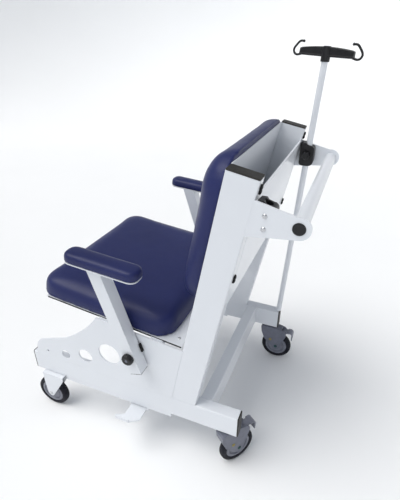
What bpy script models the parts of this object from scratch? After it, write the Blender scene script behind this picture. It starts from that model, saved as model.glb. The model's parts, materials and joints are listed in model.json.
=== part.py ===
"""Mobile transfer chair: a box-tube frame on four castors, with folding arms and a drip pole.

The chair faces -Y and +Z is up. Sizes are in metres. Every piece is drawn in the chair's own
frame, where Y = 0 is the rear end of the base tubes and Z = 0 is the floor, and hangs from one
empty that centres the whole chair on the world's origin.
"""

import math

import bmesh
import bpy
from mathutils import Matrix

# Whole chair
CENTRE_Y = 0.3144          # moves the chair so that its box is centred on Y = 0
GAP = 0.0003               # clearance between pieces that touch
SIDES = (("left", 1), ("right", -1))

# Box tube of the frame
TUBE_DEEP = 0.080
TUBE_WIDE = 0.040
TUBE_WALL = 0.0025
TUBE_CORNER = 0.004
CAP_HEAD = 0.004
CAP_SHANK = 0.012
FRAME_HALF = 0.300         # centre line to the outer face of the frame
INNER_HALF = FRAME_HALF - TUBE_WIDE
TUBE_X = FRAME_HALF - TUBE_WIDE / 2
BASE_LENGTH = 0.775
BASE_LOW = 0.165
BASE_TOP = BASE_LOW + TUBE_DEEP
CROSS_Y = -0.114
SHEET = 0.005

# Under rail and foot pedal
RAIL_Y = (-0.653, -0.226)
RAIL_X = (0.276, 0.296)
RAIL_LOW = 0.146
PEDAL_AXIS = (0.287, 0.1385)
PEDAL_Y = (-0.377, -0.319)
PEDAL_PLATE = 0.005
PEDAL_BARREL = 0.0055
PEDAL_PIN = 0.003
LUG = 0.006

# Leaning back frame
LEAN = math.radians(11.5)
FOOT_Y = -0.178
BACK_LENGTH = 0.766
BACK_SHEET = 0.0025
BUMPER_HEIGHTS = (("upper", 0.742), ("lower", 0.498))

# Seat
SEAT_SLOPE = math.atan(0.112)
SEAT_REAR = (-0.182, 0.462)
SEAT_SHEET = 0.003
SEAT_CUSHION_X = 0.2955
SEAT_CUSHION_Y = (-0.521, -0.036)
SEAT_CUSHION_THICK = 0.062
BACK_CUSHION_X = 0.296
BACK_CUSHION_Z = (0.354, 0.788)
BACK_CUSHION_THICK = 0.062
CUSHION_UNDER_EDGE = 0.006            # round edge against the board or pan
SEAT_CUSHION_EDGES = (0.062, 0.024)   # corner in plan, then the round of the sitter's side
BACK_CUSHION_EDGES = (0.085, 0.045)

# Push handle and drip pole
HANDLE = (0.104, 0.895)
HANDLE_RADIUS = 0.017
HANDLE_WALL = 0.0025
PLUG_RADIUS = 0.0148
PLUG_SHANK = 0.0128
SCREW_SPOTS = ((0.029, 0.912), (0.028, 0.881))
SCREW_RADIUS = 0.003
CLAMP_Y = (0.006, 0.052)
CLAMP_Z = (0.868, 0.944)
CLAMP_INNER = 0.2625
POLE_X = 0.2790
POLE_TILT = math.radians(2.9)
POLE_FOOT = (-0.0032, BASE_TOP)
POLE_RADIUS = 0.010
POLE_LENGTH = 0.962
HANGER_TURN = math.radians(-20)
HANGER_HALF = 0.092
HOOK_RADIUS = 0.028
HOOK_WIRE = 0.0032

# Wheels
WHEEL_RADIUS = 0.0625
RIM_RADIUS = 0.0455
WHEEL_HALF = 0.0135
AXLE_RADIUS = 0.004
BORE_RADIUS = 0.0043
WHEEL_STEPS = 24
FRONT_WHEEL = (0.2955, -0.725)
FORK_X = (0.276, 0.315)
FORK_SHEET = 0.003
CASTOR = (0.280, -0.037)
CASTOR_TRAIL = 0.0405
CASTOR_TURNS = {"left": math.radians(54), "right": 0.0}
HOUSING_HALF = 0.0195
HOUSING_SLOT = 0.0155
BRAKE_PIVOT = (0.067, 0.140)

# Folding arms
ARM_PIVOT = (-0.331, 0.412)
ARM_LEAN = math.radians(17)
ARM_X = (0.3045, 0.3445)
ARM_HALF = 0.0205
ARM_BELOW = 0.0615
ARM_WALL = 0.003
ARM_BOLT = 0.005
PAD_SLOPE = math.radians(5)
PAD_X = (0.3018, 0.3665)
PAD_CENTRE = (-0.3885, 0.7062)
PAD_LENGTH = 0.233
PAD_THICK = 0.030
ARM_PLATE = 0.003
KNOB_RADIUS = 0.0185

FINISHES = {
    "white_paint": ((0.86, 0.88, 0.90), 0.28, 0.0),
    "black_plastic": ((0.015, 0.014, 0.013), 0.45, 0.0),
    "black_rubber": ((0.012, 0.012, 0.013), 0.75, 0.0),
    "navy_vinyl": ((0.020, 0.028, 0.115), 0.42, 0.0),
    "grey_plastic": ((0.20, 0.21, 0.28), 0.45, 0.0),
    "pale_plastic": ((0.42, 0.43, 0.46), 0.40, 0.0),
    "tyre_rubber": ((0.022, 0.023, 0.035), 0.70, 0.0),
    "bright_steel": ((0.62, 0.62, 0.62), 0.25, 1.0),
    "green_plastic": ((0.0, 0.045, 0.045), 0.45, 0.0),
}


# ---------------------------------------------------------------- scene and finish

def clear_scene():
    for old in list(bpy.data.objects):
        bpy.data.objects.remove(old, do_unlink=True)


def make_chair_empty():
    chair = bpy.data.objects.new("chair", None)
    chair.location = (0.0, CENTRE_Y, 0.0)
    bpy.context.scene.collection.objects.link(chair)
    return chair


def finish(name):
    """The named material, made the first time that it is asked for."""
    made = bpy.data.materials.get(name)
    if made:
        return made
    colour, roughness, metallic = FINISHES[name]
    made = bpy.data.materials.new(name)
    made.use_nodes = True
    shader = made.node_tree.nodes["Principled BSDF"]
    shader.inputs["Base Color"].default_value = (*colour, 1.0)
    shader.inputs["Roughness"].default_value = roughness
    shader.inputs["Metallic"].default_value = metallic
    made.diffuse_color = (*colour, 1.0)
    return made


# ---------------------------------------------------------------- shapes

def loft(rings, loop=False):
    """Skin matching rings of points. The end rings are capped, or joined when loop is true."""
    shape = bmesh.new()
    rows = [[shape.verts.new(point) for point in ring] for ring in rings]
    pairs = list(zip(rows, rows[1:]))
    if loop:
        pairs.append((rows[-1], rows[0]))
    else:
        shape.faces.new(rows[0])
        shape.faces.new(rows[-1])
    for first, second in pairs:
        for index, corner in enumerate(first):
            after = (index + 1) % len(first)
            shape.faces.new((corner, first[after], second[after], second[index]))
    bmesh.ops.recalc_face_normals(shape, faces=shape.faces)
    return shape


def slab(outline, x_one, x_two):
    """A flat piece: a (y, z) outline pushed along X."""
    low, high = sorted((x_one, x_two))
    return loft([[(low, y, z) for y, z in outline], [(high, y, z) for y, z in outline]])


def block(x_range, y_range, z_range):
    (y_low, y_high), (z_low, z_high) = y_range, z_range
    return slab([(y_low, z_low), (y_high, z_low), (y_high, z_high), (y_low, z_high)], *x_range)


def turned(profile, steps, loop=False, centre=(0.0, 0.0)):
    """Turn (x, radius) points about a line along X through centre, a (y, z) point."""
    angles = [2 * math.pi * step / steps for step in range(steps)]
    rings = []
    for x, radius in profile:
        around = [(radius * math.cos(a), radius * math.sin(a)) for a in angles]
        rings.append([(x, centre[0] + y, centre[1] + z) for y, z in around])
    return loft(rings, loop)


def rod(x_one, x_two, radius, centre, steps=20):
    return turned([(x_one, radius), (x_two, radius)], steps, centre=centre)


def arc(centre, radius, start, end, steps):
    """Points of an arc in (y, z); the angles are in degrees from +Y towards +Z."""
    points = []
    for step in range(steps + 1):
        angle = math.radians(start + (end - start) * step / steps)
        points.append((centre[0] + radius * math.cos(angle), centre[1] + radius * math.sin(angle)))
    return points


def bend(start, pull, end, steps):
    """Points of a quadratic curve from start to end, drawn towards pull."""
    points = []
    for step in range(steps + 1):
        t = step / steps
        weights = ((1 - t) ** 2, 2 * t * (1 - t), t * t)
        points.append(tuple(sum(w * p[k] for w, p in zip(weights, (start, pull, end))) for k in (0, 1)))
    return points


def rounded(width, depth, corner, steps=2):
    """A rectangle with round corners, centred on (0, 0)."""
    points = []
    for index, (side_x, side_y) in enumerate(((1, 1), (-1, 1), (-1, -1), (1, -1))):
        middle = (side_x * (width / 2 - corner), side_y * (depth / 2 - corner))
        points += arc(middle, corner, 90 * index, 90 * index + 90, steps)
    return points


def box_tube_rings():
    """Outer and inner outlines of the frame's box tube."""
    outer = rounded(TUBE_WIDE, TUBE_DEEP, TUBE_CORNER)
    inner = rounded(TUBE_WIDE - 2 * TUBE_WALL, TUBE_DEEP - 2 * TUBE_WALL, TUBE_CORNER - TUBE_WALL)
    return outer, inner


def tube_cap(into):
    """End cap of the box tube: its head stands on Z = 0, and its shank runs towards into."""
    head = rounded(TUBE_WIDE, TUBE_DEEP, TUBE_CORNER)
    slack = 2 * TUBE_WALL + 4 * GAP
    shank = rounded(TUBE_WIDE - slack, TUBE_DEEP - slack, TUBE_CORNER - TUBE_WALL)
    chamfer = CAP_HEAD * 0.3
    crown = rounded(TUBE_WIDE - 2 * chamfer, TUBE_DEEP - 2 * chamfer, TUBE_CORNER - chamfer)
    levels = ((crown, -CAP_HEAD), (head, chamfer - CAP_HEAD), (head, -GAP), (shank, -GAP), (shank, CAP_SHANK))
    return loft([[(a, b, into * level) for a, b in outline] for outline, level in levels])


def pillow(width, length, thick, corner, back_edge, front_edge):
    """A plain cushion: a round-cornered slab whose two faces have rounded edges."""
    levels = []
    for degrees in (0, 45, 90):
        swing = math.radians(degrees)
        levels.append((back_edge * (1 - math.sin(swing)), back_edge * (1 - math.cos(swing))))
    for degrees in (0, 30, 60, 90):
        swing = math.radians(degrees)
        levels.append((front_edge * (1 - math.cos(swing)), thick - front_edge * (1 - math.sin(swing))))
    rings = []
    for inset, height in levels:
        outline = rounded(width - 2 * inset, length - 2 * inset, corner - inset * 0.8, 4)
        rings.append([(a, b, height) for a, b in outline])
    return loft(rings)


def piece(name, shape, look, at=(0.0, 0.0, 0.0), turn=(0.0, 0.0, 0.0), smooth=False):
    """Make one named object from a shape and hang it from the chair's empty."""
    mesh = bpy.data.meshes.new(name)
    shape.to_mesh(mesh)
    shape.free()
    mesh.materials.append(finish(look))
    if smooth:
        mesh.shade_smooth()
        mesh.set_sharp_from_angle(angle=math.radians(35))
    made = bpy.data.objects.new(name, mesh)
    made.location = at
    made.rotation_euler = turn
    made.parent = bpy.data.objects["chair"]
    bpy.context.scene.collection.objects.link(made)
    return made


def work(target, shape, operation):
    """Cut a shape from a piece, or weld it on. The shape is drawn in the piece's own frame."""
    tool = piece(f"tool_{target.name}_{len(target.modifiers)}", shape, "white_paint",
                 target.location, target.rotation_euler)
    tool.hide_render = True
    tool.display_type = "WIRE"
    step = target.modifiers.new(operation.lower(), "BOOLEAN")
    step.operation = operation
    step.solver = "EXACT"
    step.object = tool


def cut(target, shape):
    work(target, shape, "DIFFERENCE")


def weld(target, shape):
    work(target, shape, "UNION")


# ---------------------------------------------------------------- base

def make_base_tube(label, side):
    outer, inner = box_tube_rings()
    rings = [[(a, b, end) for a, b in outline]
             for outline, end in ((outer, -BASE_LENGTH), (outer, 0), (inner, 0), (inner, -BASE_LENGTH))]
    middle = (side * TUBE_X, 0.0, (BASE_LOW + BASE_TOP) / 2)
    along_y = (math.radians(-90), 0.0, 0.0)
    piece(f"base_tube_{label}", loft(rings, loop=True), "white_paint", middle, along_y)
    for end, place, into in (("front", -BASE_LENGTH, 1), ("rear", 0.0, -1)):
        at = (middle[0], place, middle[2])
        piece(f"base_{end}_cap_{label}", tube_cap(into), "black_plastic", at, along_y)


def make_cross_tube():
    outer, inner = box_tube_rings()
    reach = INNER_HALF - GAP
    rings = [[(end, a, b) for a, b in outline]
             for outline, end in ((outer, -reach), (outer, reach), (inner, reach), (inner, -reach))]
    piece("rear_cross_tube", loft(rings, loop=True), "white_paint", (0.0, CROSS_Y, (BASE_LOW + BASE_TOP) / 2))


def make_under_rail(label, side):
    bar = block([side * x for x in RAIL_X], RAIL_Y, (RAIL_LOW, BASE_LOW - GAP))
    rail = piece(f"under_rail_{label}", bar, "white_paint")
    if side < 0:
        return
    axis_x, axis_z = PEDAL_AXIS
    for edge, outwards in zip(PEDAL_Y, (-1, 1)):
        near = edge + outwards * GAP
        ends = sorted((near, near + outwards * LUG))
        weld(rail, block((axis_x - 0.007, axis_x + 0.007), ends, (axis_z - 0.006, RAIL_LOW + 0.002)))
        cut(rail, along_y_rod(axis_x, axis_z, [ends[0] - GAP, ends[1] + GAP], PEDAL_PIN + GAP))


def along_y_rod(x, z, ends, radius, steps=16):
    rings = []
    for y in ends:
        angles = [2 * math.pi * step / steps for step in range(steps)]
        rings.append([(x + radius * math.cos(a), y, z + radius * math.sin(a)) for a in angles])
    return loft(rings)


def make_foot_pedal():
    """Tread plate on a barrel under the left rail, with a forward ear and a raised outer lip."""
    rear, front = PEDAL_Y[1], PEDAL_Y[0]
    outline = [(0.0, front), (0.0, rear), (0.056, rear), (0.076, rear - 0.031), (0.076, front - 0.024),
               (0.066, front - 0.028), (0.054, front)]
    top = PEDAL_PLATE / 2
    plate = loft([[(x, y, level) for x, y in outline] for level in (-top, top)])
    at = (PEDAL_AXIS[0], 0.0, PEDAL_AXIS[1])
    pedal = piece("foot_pedal", plate, "white_paint", at)
    weld(pedal, along_y_rod(0.0, 0.0, (front, rear), PEDAL_BARREL))
    weld(pedal, along_y_rod(0.0, 0.0, (front - LUG, rear + LUG), PEDAL_PIN, 12))
    weld(pedal, block((0.0735, 0.0765), (front - 0.0235, rear - 0.032), (-top + 0.0002, top + 0.007)))


# ---------------------------------------------------------------- side plates and uprights

def lean_y(height, forward):
    """Y of a line in the leaning frame, forward of the uprights' centre line, at a height."""
    return FOOT_Y + (height - BASE_TOP) * math.tan(LEAN) - forward / math.cos(LEAN)


def seat_line(y):
    """Height of the cushion's underside at y."""
    return SEAT_REAR[1] - (y - SEAT_REAR[0]) * math.tan(SEAT_SLOPE)


def make_side_plate(label, side):
    """Sheet on the base tube, with a curved brow under the seat and a row of growing holes."""
    foot = BASE_TOP + GAP
    top_gap = 0.008
    brow = (-0.471, seat_line(-0.471) - top_gap)
    back_top = seat_line(-0.18) - top_gap
    clear = TUBE_DEEP / 2 + 2 * GAP
    outline = [(lean_y(foot, clear), foot), (-0.757, foot)]
    outline += bend((-0.751, 0.279), (-0.747, 0.302), (-0.726, 0.316), 5)
    outline += bend((-0.613, 0.358), (-0.520, 0.415), brow, 12)
    outline += [(lean_y(back_top, clear), back_top)]
    ends = (side * (FRAME_HALF - SHEET), side * FRAME_HALF)
    plate = piece(f"side_plate_{label}", slab(outline, *ends), "white_paint")
    holes = ((-0.704, 0.270, 0.005), (-0.625, 0.280, 0.018), (-0.539, 0.304, 0.027), (-0.439, 0.348, 0.040))
    reach = (side * (FRAME_HALF - 2 * SHEET), side * (FRAME_HALF + SHEET))
    for y, z, radius in holes:
        cut(plate, rod(*reach, radius, (y, z), 12 if radius < 0.01 else 28))
    cut(plate, rod(*reach, ARM_BOLT + GAP, ARM_PIVOT, 16))


def in_back_frame(name, shape, look, x=0.0, up=0.0, smooth=False):
    """Place a shape drawn in the leaning frame: its Z runs up the uprights and its Y points back."""
    at = (x, FOOT_Y + up * math.sin(LEAN), BASE_TOP + up * math.cos(LEAN))
    return piece(name, shape, look, at, (-LEAN, 0.0, 0.0), smooth)


def make_upright(label, side):
    outer, inner = box_tube_rings()

    def foot(points):
        return [(x, y, y * math.tan(LEAN) + GAP / math.cos(LEAN)) for x, y in points]

    def head(points):
        return [(x, y, BACK_LENGTH) for x, y in points]

    rings = [foot(outer), head(outer), head(inner), foot(inner)]
    in_back_frame(f"upright_{label}", loft(rings, loop=True), "white_paint", side * TUBE_X)
    in_back_frame(f"upright_cap_{label}", tube_cap(-1), "black_plastic", side * TUBE_X, BACK_LENGTH)
    rear_face = TUBE_DEEP / 2
    for level, up in BUMPER_HEIGHTS:
        steps = ((0.010, GAP), (0.010, 0.0035), (0.006, 0.0055))
        rings = [[(a, rear_face + proud, b) for a, b in rounded(width + 0.001, width + 0.010, width / 2, 3)]
                 for width, proud in steps]
        in_back_frame(f"bumper_{level}_{label}", loft(rings), "black_rubber", side * TUBE_X, up, True)


def make_back_panels():
    reach = INNER_HALF - GAP
    front = -TUBE_DEEP / 2
    top = BACK_LENGTH + CAP_HEAD
    front_panel = block((-reach, reach), (front, front + BACK_SHEET), (0.222, top))
    in_back_frame("back_panel", front_panel, "white_paint")
    rear = TUBE_DEEP / 2
    pocket_floor, hem_top = 0.402, 0.726
    hem = 0.012
    inside, floor_top = front + BACK_SHEET + GAP, pocket_floor + BACK_SHEET
    outline = [(rear, pocket_floor), (rear, hem_top), (rear - 2 * BACK_SHEET, hem_top),
               (rear - 2 * BACK_SHEET, hem_top - hem), (rear - BACK_SHEET, hem_top - hem),
               (rear - BACK_SHEET, floor_top), (inside, floor_top), (inside, pocket_floor)]
    in_back_frame("rear_panel", slab(outline, -reach, reach), "white_paint")


# ---------------------------------------------------------------- seat

def in_seat_frame(name, shape, look, y=0.0, z=0.0, smooth=False):
    """Place a shape drawn in the seat's frame: its Y runs back down the slope, from the pan's rear edge."""
    run, rise = math.cos(SEAT_SLOPE), math.sin(SEAT_SLOPE)
    at = (0.0, SEAT_REAR[0] + y * run + z * rise, SEAT_REAR[1] - y * rise + z * run)
    return piece(name, shape, look, at, (-SEAT_SLOPE, 0.0, 0.0), smooth)


def make_seat():
    under = -SEAT_SHEET - GAP
    pan = in_seat_frame("seat_pan", block((-0.291, 0.291), (-0.482, 0.0), (under, -GAP)), "white_paint")
    reach = FRAME_HALF - SHEET - 2 * GAP
    heights = (under - 0.025, under + SEAT_SHEET / 2)
    for bar_rear in (-0.240, -0.060):
        weld(pan, block((-reach, reach), (bar_rear - 0.040, bar_rear), heights))
    front, rear = SEAT_CUSHION_Y
    corner, soft_edge = SEAT_CUSHION_EDGES
    cushion = pillow(2 * SEAT_CUSHION_X, rear - front, SEAT_CUSHION_THICK, corner,
                     CUSHION_UNDER_EDGE, soft_edge)
    in_seat_frame("seat_cushion", cushion, "navy_vinyl", (front + rear) / 2, 0.0, True)


def make_back_cushion():
    """The pillow is drawn face up, then stood against the uprights with its face forwards."""
    low, high = BACK_CUSHION_Z
    corner, soft_edge = BACK_CUSHION_EDGES
    cushion = pillow(2 * BACK_CUSHION_X, high - low, BACK_CUSHION_THICK, corner,
                     CUSHION_UNDER_EDGE, soft_edge)
    up, back = (low + high) / 2, TUBE_DEEP / 2 + GAP
    at = (0.0, FOOT_Y + up * math.sin(LEAN) - back * math.cos(LEAN),
          BASE_TOP + up * math.cos(LEAN) + back * math.sin(LEAN))
    piece("back_cushion", cushion, "navy_vinyl", at, (math.radians(90) - LEAN, 0.0, 0.0), True)


# ---------------------------------------------------------------- handle and drip pole

def make_handle_bracket(label, side):
    top, low = 0.945, 0.856
    clear = TUBE_DEEP / 2 + 2 * GAP
    outline = [(lean_y(low, -clear), low), (0.038, 0.862)]
    outline += arc(HANDLE, 0.027, -80, 102, 12)
    outline += [(0.054, 0.932), (lean_y(top, -clear), top)]
    ends = (side * (FRAME_HALF - SHEET), side * FRAME_HALF)
    bracket = piece(f"handle_bracket_{label}", slab(outline, *ends), "white_paint")
    reach = (side * (FRAME_HALF - 2 * SHEET), side * (FRAME_HALF + SHEET))
    cut(bracket, rod(*reach, PLUG_SHANK + GAP, HANDLE, 24))
    for spot in SCREW_SPOTS:
        cut(bracket, rod(*reach, SCREW_RADIUS + GAP, spot, 12))
    head, face = FRAME_HALF + 0.0028, FRAME_HALF + GAP
    profile = [(head, PLUG_RADIUS * 0.75), (head - 0.0008, PLUG_RADIUS), (face, PLUG_RADIUS),
               (face, PLUG_SHANK), (FRAME_HALF - 0.018, PLUG_SHANK)]
    plug = turned([(side * x, radius) for x, radius in profile], 24)
    piece(f"handle_plug_{label}", plug, "black_plastic", (0.0, *HANDLE), smooth=True)


def make_handle_tube():
    reach, bore = FRAME_HALF - SHEET - GAP, HANDLE_RADIUS - HANDLE_WALL
    profile = [(-reach, HANDLE_RADIUS), (reach, HANDLE_RADIUS), (reach, bore), (-reach, bore)]
    piece("handle_tube", turned(profile, 28, loop=True), "white_paint", (0.0, *HANDLE), smooth=True)


def pole_point(along):
    """A (y, z) point on the pole's line, measured up from its foot."""
    return (POLE_FOOT[0] + along * math.sin(POLE_TILT), POLE_FOOT[1] + along * math.cos(POLE_TILT))


def upright_rod(radius, low, high, steps=20):
    angles = [2 * math.pi * step / steps for step in range(steps)]
    return loft([[(radius * math.cos(a), radius * math.sin(a), z) for a in angles] for z in (low, high)])


def make_pole_clamp(label, side):
    """Clamp block inside the bracket, held by two screws, with a split ear and a bore for the pole."""
    mid_z = (CLAMP_Z[0] + CLAMP_Z[1]) / 2
    outer = FRAME_HALF - SHEET - GAP
    (front, rear), (low, high) = CLAMP_Y, CLAMP_Z
    outline = arc((front + 0.010, low + 0.010), 0.010, 180, 270, 3)
    outline += arc((rear - 0.016, low + 0.016), 0.016, 270, 360, 4)
    outline += arc((rear - 0.012, high - 0.022), 0.012, 0, 90, 4)
    outline += [(rear - 0.024, high - 0.006), (rear - 0.028, high)]
    outline += [(front + 0.006, high), (front, high - 0.006)]
    clamp = piece(f"pole_clamp_{label}", slab(outline, side * CLAMP_INNER, side * outer), "black_plastic")
    bore = upright_rod(POLE_RADIUS + GAP, -0.08, 0.08, 20)
    along = (mid_z - POLE_FOOT[1]) / math.cos(POLE_TILT)
    bmesh.ops.rotate(bore, verts=bore.verts, matrix=Matrix.Rotation(-POLE_TILT, 3, "X"))
    bmesh.ops.translate(bore, verts=bore.verts, vec=(side * POLE_X, *pole_point(along)))
    cut(clamp, bore)
    for spot in SCREW_SPOTS:
        head, face = FRAME_HALF + 0.0024, FRAME_HALF + GAP
        profile = [(head, 0.0035), (head - 0.001, 0.0055), (face, 0.0055), (face, SCREW_RADIUS),
                   (outer - 0.002, SCREW_RADIUS)]
        weld(clamp, turned([(side * x, radius) for x, radius in profile], 12, centre=spot))
    profile = [(0.0, 0.005), (0.004, 0.005), (0.004, 0.0125), (0.007, 0.0135)]
    profile += [(0.018, 0.0135), (0.021, 0.0115)]
    knob = turned([(-side * (x + GAP), radius) for x, radius in profile], 20)
    piece(f"clamp_knob_{label}", knob, "black_plastic", (side * CLAMP_INNER, 0.028, mid_z), smooth=True)


def make_drip_pole():
    steps = 20
    angles = [2 * math.pi * step / steps for step in range(steps)]
    bore = POLE_RADIUS - 0.0015
    levels = ((POLE_RADIUS, GAP * 2), (POLE_RADIUS, POLE_LENGTH), (bore, POLE_LENGTH), (bore, GAP * 2))
    rings = [[(r * math.cos(a), r * math.sin(a), z) for a in angles] for r, z in levels]
    at = (-POLE_X, *POLE_FOOT)
    piece("drip_pole", loft(rings, loop=True), "white_paint", at, (-POLE_TILT, 0.0, 0.0), True)


def hook_rings(sign):
    """Wire of one bag hook: it leaves the arm's underside, curls out and comes back over the top."""
    rings = []
    count = 14
    middle = (HANGER_HALF - 0.003, 0.001)
    for step in range(count + 1):
        angle = math.radians(-158 + 256 * step / count)
        radius = HOOK_WIRE * (1.0 if step < count else 0.7)
        ring = []
        for side in range(8):
            spin = 2 * math.pi * side / 8
            out = HOOK_RADIUS + radius * math.cos(spin)
            ring.append((radius * math.sin(spin), sign * (middle[0] + out * math.cos(angle)),
                         middle[1] + out * math.sin(angle)))
        rings.append(ring)
    return rings


def swung(shape):
    """Swing a shape about the pole's line by the hanger's turn."""
    bmesh.ops.rotate(shape, verts=shape.verts, matrix=Matrix.Rotation(HANGER_TURN, 3, "Z"))
    return shape


def make_hanger():
    """Moulded bar on top of the pole, with a socket for it and a hook at each end."""
    half, mid = 0.0075, 0.0135
    crown = bend((-HANGER_HALF, 0.008), (0.0, 0.020), (HANGER_HALF, 0.008), 8)
    belly = bend((HANGER_HALF, -0.012), (0.0, -mid), (-HANGER_HALF, -0.012), 4)
    y, z = pole_point(POLE_LENGTH + 0.006)
    bar = swung(slab(crown + belly, -half, half))
    hanger = piece("hanger", bar, "black_plastic", (-POLE_X, y, z), (-POLE_TILT, 0.0, 0.0))
    weld(hanger, upright_rod(0.0135, -0.026, 0.004))
    for sign in (-1, 1):
        weld(hanger, swung(loft(hook_rings(sign))))
    cut(hanger, upright_rod(POLE_RADIUS + GAP, -0.040, -0.006 + GAP))


# ---------------------------------------------------------------- wheels

def make_wheel(prefix, label, at, turn):
    """A plastic wheel centre with a bore, and the tyre around it, both on the axle's line."""
    face = WHEEL_HALF - 0.002
    half_rim = [(WHEEL_HALF, BORE_RADIUS), (WHEEL_HALF, 0.011), (0.005, 0.015), (0.005, 0.036), (face, 0.040),
                (face, RIM_RADIUS)]
    profile = half_rim + [(-x, radius) for x, radius in reversed(half_rim)]
    piece(f"{prefix}_hub_{label}", turned(profile, WHEEL_STEPS, loop=True), "pale_plastic", at, turn, True)
    inner = RIM_RADIUS + GAP
    half_tyre = [(WHEEL_HALF - 0.0015, inner), (WHEEL_HALF, 0.0515), (0.0115, 0.0590), (0.0065, 0.0620)]
    profile = half_tyre + [(0.0, WHEEL_RADIUS)] + [(-x, radius) for x, radius in reversed(half_tyre)]
    piece(f"{prefix}_tyre_{label}", turned(profile, WHEEL_STEPS, loop=True), "tyre_rubber", at, turn, True)


def make_front_wheel(label, side):
    """Fixed front wheel in a folded fork under the base tube."""
    x, y = side * FRONT_WHEEL[0], FRONT_WHEEL[1]
    axle = (y, WHEEL_RADIUS)
    make_wheel("front", label, (x, *axle), (0.0, 0.0, 0.0))
    top = BASE_LOW - GAP
    outline = [(-0.742, top), (-0.742, 0.108)]
    outline += arc(axle, 0.0135, 178, 322, 8)
    outline += [(-0.654, 0.148), (-0.654, top)]
    fork = piece(f"front_fork_{label}", slab(outline, *[side * edge for edge in FORK_X]), "white_paint")
    space = [side * (FORK_X[0] + FORK_SHEET), side * (FORK_X[1] - FORK_SHEET)]
    cut(fork, block(space, (-0.80, -0.60), (0.0, top - FORK_SHEET)))
    cut(fork, rod(side * (FORK_X[0] - 0.002), side * (FORK_X[1] + 0.002), BORE_RADIUS, axle, 16))
    inner, outer = FORK_X[0] - GAP, FORK_X[1] + GAP
    profile = [(outer + 0.004, 0.0055), (outer + 0.003, 0.0075), (outer, 0.0075), (outer, AXLE_RADIUS),
               (inner, AXLE_RADIUS), (inner, 0.0065), (inner - 0.004, 0.0065)]
    bolt = turned([(side * edge, radius) for edge, radius in profile], 16)
    piece(f"front_axle_{label}", bolt, "bright_steel", (0.0, *axle), smooth=True)


def make_castor(label, side):
    """Swivelling rear castor. It is drawn trailing straight back, then swung about its stem."""
    swing = CASTOR_TURNS[label]
    stem = (side * CASTOR[0], CASTOR[1], 0.0)
    axle = (CASTOR_TRAIL, WHEEL_RADIUS)
    top = 0.158
    outline = [(-0.025, top), (-0.029, top - 0.005), (-0.026, 0.128), (-0.013, 0.093), (0.006, 0.074)]
    outline += arc(axle, 0.018, 190, 360, 8)
    outline += [(0.066, 0.092), (0.0785, 0.122), (0.0785, 0.139)]
    outline += [(0.070, 0.1495), (0.050, 0.155), (0.030, top)]
    housing = piece(f"castor_housing_{label}", slab(outline, -HOUSING_HALF, HOUSING_HALF), "grey_plastic",
                    stem, (0.0, 0.0, swing))
    weld(housing, upright_rod(0.014, top - 0.010, BASE_LOW - GAP, 20))
    slot = (-HOUSING_SLOT, HOUSING_SLOT)
    cut(housing, rod(*slot, WHEEL_RADIUS + 0.003, axle, 28))
    cut(housing, block(slot, (-0.06, 0.12), (0.0, 0.070)))
    cut(housing, block((-0.0125, 0.0125), (0.0590, 0.100), (0.100, 0.170)))
    cut(housing, rod(-0.03, 0.03, BORE_RADIUS, axle, 16))
    make_castor_axle(label, stem, axle, swing)
    across, along = -math.sin(swing), math.cos(swing)
    wheel_at = (stem[0] + across * CASTOR_TRAIL, stem[1] + along * CASTOR_TRAIL, WHEEL_RADIUS)
    make_wheel("castor", label, wheel_at, (0.0, 0.0, swing))
    pivot_at = (stem[0] + across * BRAKE_PIVOT[0], stem[1] + along * BRAKE_PIVOT[0], BRAKE_PIVOT[1])
    make_brake_pedal(label, pivot_at, swing)


def make_castor_axle(label, stem, axle, swing):
    face = HOUSING_HALF + GAP
    half = [(face + 0.002, 0.0055), (face + 0.001, 0.0068), (face, 0.0068), (face, AXLE_RADIUS)]
    profile = half + [(-x, radius) for x, radius in reversed(half)]
    pin = turned(profile, 16, centre=axle)
    piece(f"castor_axle_{label}", pin, "green_plastic", stem, (0.0, 0.0, swing), True)


def make_brake_pedal(label, at, swing):
    """Tread that locks the castor, on a hub between the housing's rear ears."""
    strap = arc((0.0, 0.0), 0.0055, 60, 270, 6)
    strap += [(0.012, -0.0035), (0.0215, 0.0), (0.0215, 0.0075), (0.012, 0.0065)]
    pedal = piece(f"brake_pedal_{label}", slab(strap, -0.0115, 0.0115), "pale_plastic", at, (0.0, 0.0, swing))
    tread = [(0.0175, 0.0005), (0.029, 0.003), (0.0345, -0.003), (0.0350, -0.030), (0.0385, -0.032),
             (0.0400, -0.004), (0.037, 0.004), (0.030, 0.0085), (0.0175, 0.0075)]
    weld(pedal, slab(tread, -0.0155, 0.0155))


# ---------------------------------------------------------------- folding arms

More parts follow.
